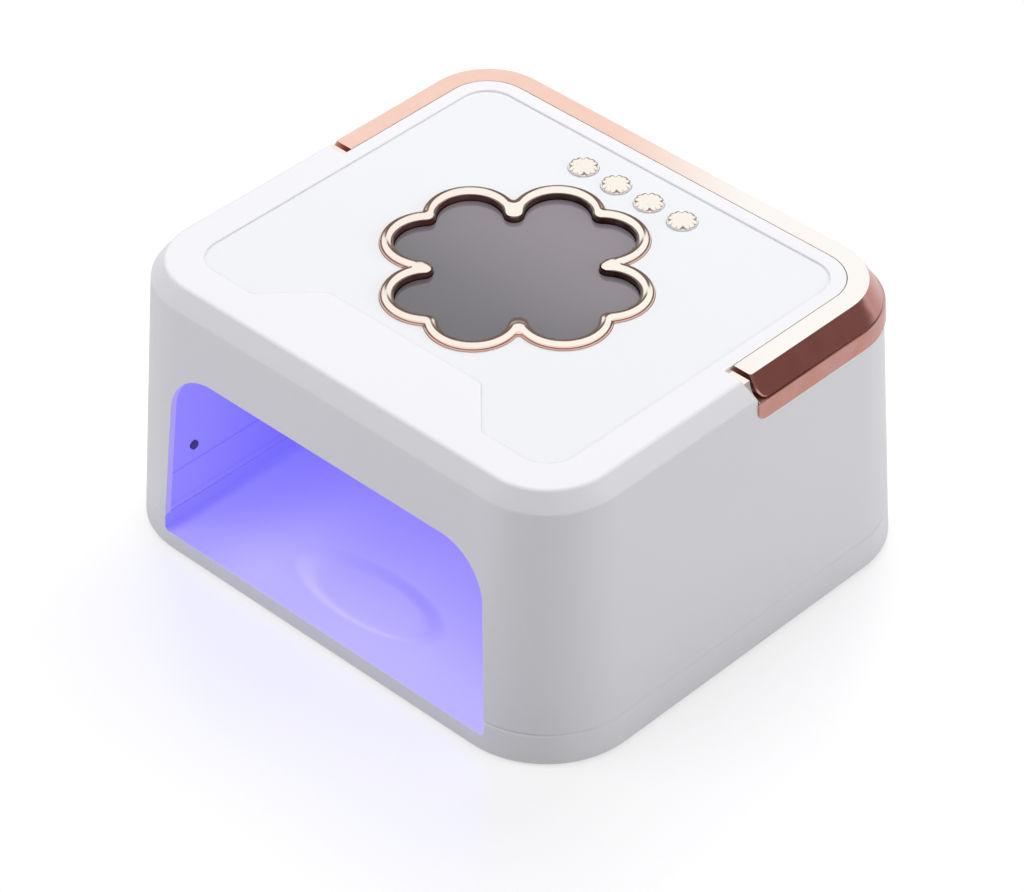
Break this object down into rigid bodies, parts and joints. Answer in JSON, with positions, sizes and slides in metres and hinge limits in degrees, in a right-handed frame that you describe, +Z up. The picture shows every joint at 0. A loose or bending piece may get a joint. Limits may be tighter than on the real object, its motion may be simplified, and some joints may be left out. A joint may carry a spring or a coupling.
{
  "type": "nail lamp",
  "caption": "Tabletop lamp that cures nail gel: a white drafted case over a lift-off tray, with a hand chamber, clover display, flower-edged keys and a swing-up carry handle.",
  "frame": {"origin": "middle of the footprint on the table, at the foot pads' lower faces", "axes": "+Z up, hand opening faces -Y, +X is the user's right when facing the opening"},
  "size_m": [0.2198, 0.1972, 0.1115],
  "materials": {
    "case_white": "moulded white, satin gloss",
    "panel_white": "moulded white, smooth gloss",
    "liner_white": "white reflector lit violet by the lamps",
    "rose_gold": "polished rose gold plating",
    "rose_gold_trim": "polished rose gold plating, slightly deeper",
    "smoked_lens": "smoked grey window, glossy",
    "sensor_dark": "dark window, glossy",
    "rubber_feet": "matt rubber",
    "bright_steel": "plated steel",
    "circuit_board": "solder mask, satin",
    "black_plastic": "moulded black, matt",
    "bush_plastic": "natural moulded bearing plastic",
    "cell_wrap": "shrink sleeve, satin",
    "lamp_clear": "clear moulded lamp, violet when lit"
  },
  "bodies": {
    "tray": {"base_tray": "case_white", "tray_feet": "rubber_feet", "tray_magnets": "bright_steel"},
    "case": {"housing": "case_white", "bottom_cover": "case_white", "case_screws": "bright_steel", "holding_plates": "bright_steel", "reflector_skirt": "liner_white", "reflector_dome": "liner_white", "lamp_board": "circuit_board", "uv_lamps": "lamp_clear", "lamp_board_screws": "bright_steel", "hand_sensors": "sensor_dark", "sensor_boards": "circuit_board", "control_board": "circuit_board", "control_board_screws": "bright_steel", "display_module": "black_plastic", "switch_bodies": "black_plastic", "top_panel": "panel_white", "clover_bezel": "rose_gold", "display_lens": "smoked_lens", "handle_trim": "rose_gold_trim", "pivot_bushes": "bush_plastic", "battery_holder": "black_plastic", "battery_cells": "cell_wrap", "power_board": "circuit_board", "power_inlet": "black_plastic"},
    "carry_handle": {"handle": "rose_gold", "pivot_pins": "bright_steel", "pivot_clips": "bright_steel"},
    "key_1": {"button_1": "rose_gold", "plunger_1": "black_plastic"},
    "key_2": {"button_2": "rose_gold", "plunger_2": "black_plastic"},
    "key_3": {"button_3": "rose_gold", "plunger_3": "black_plastic"},
    "key_4": {"button_4": "rose_gold", "plunger_4": "black_plastic"}
  },
  "joints": [
    {"name": "case_lift", "type": "slide", "parent": "tray", "child": "case", "axis": [0, 0, 1], "range_m": [0, 0.06]},
    {"name": "handle_swing", "type": "hinge", "parent": "case", "child": "carry_handle", "pos_m": [0, 0.0144, 0.10565], "axis": [1, 0, 0], "range_deg": [0, 90]},
    {"name": "key_1_press", "type": "slide", "parent": "case", "child": "key_1", "axis": [0, 0, -1], "range_m": [0, 0.0007], "stiffness_N_per_m": 600, "springref_m": -0.0005},
    {"name": "key_2_press", "type": "slide", "parent": "case", "child": "key_2", "axis": [0, 0, -1], "range_m": [0, 0.0007], "stiffness_N_per_m": 600, "springref_m": -0.0005},
    {"name": "key_3_press", "type": "slide", "parent": "case", "child": "key_3", "axis": [0, 0, -1], "range_m": [0, 0.0007], "stiffness_N_per_m": 600, "springref_m": -0.0005},
    {"name": "key_4_press", "type": "slide", "parent": "case", "child": "key_4", "axis": [0, 0, -1], "range_m": [0, 0.0007], "stiffness_N_per_m": 600, "springref_m": -0.0005}
  ]
}
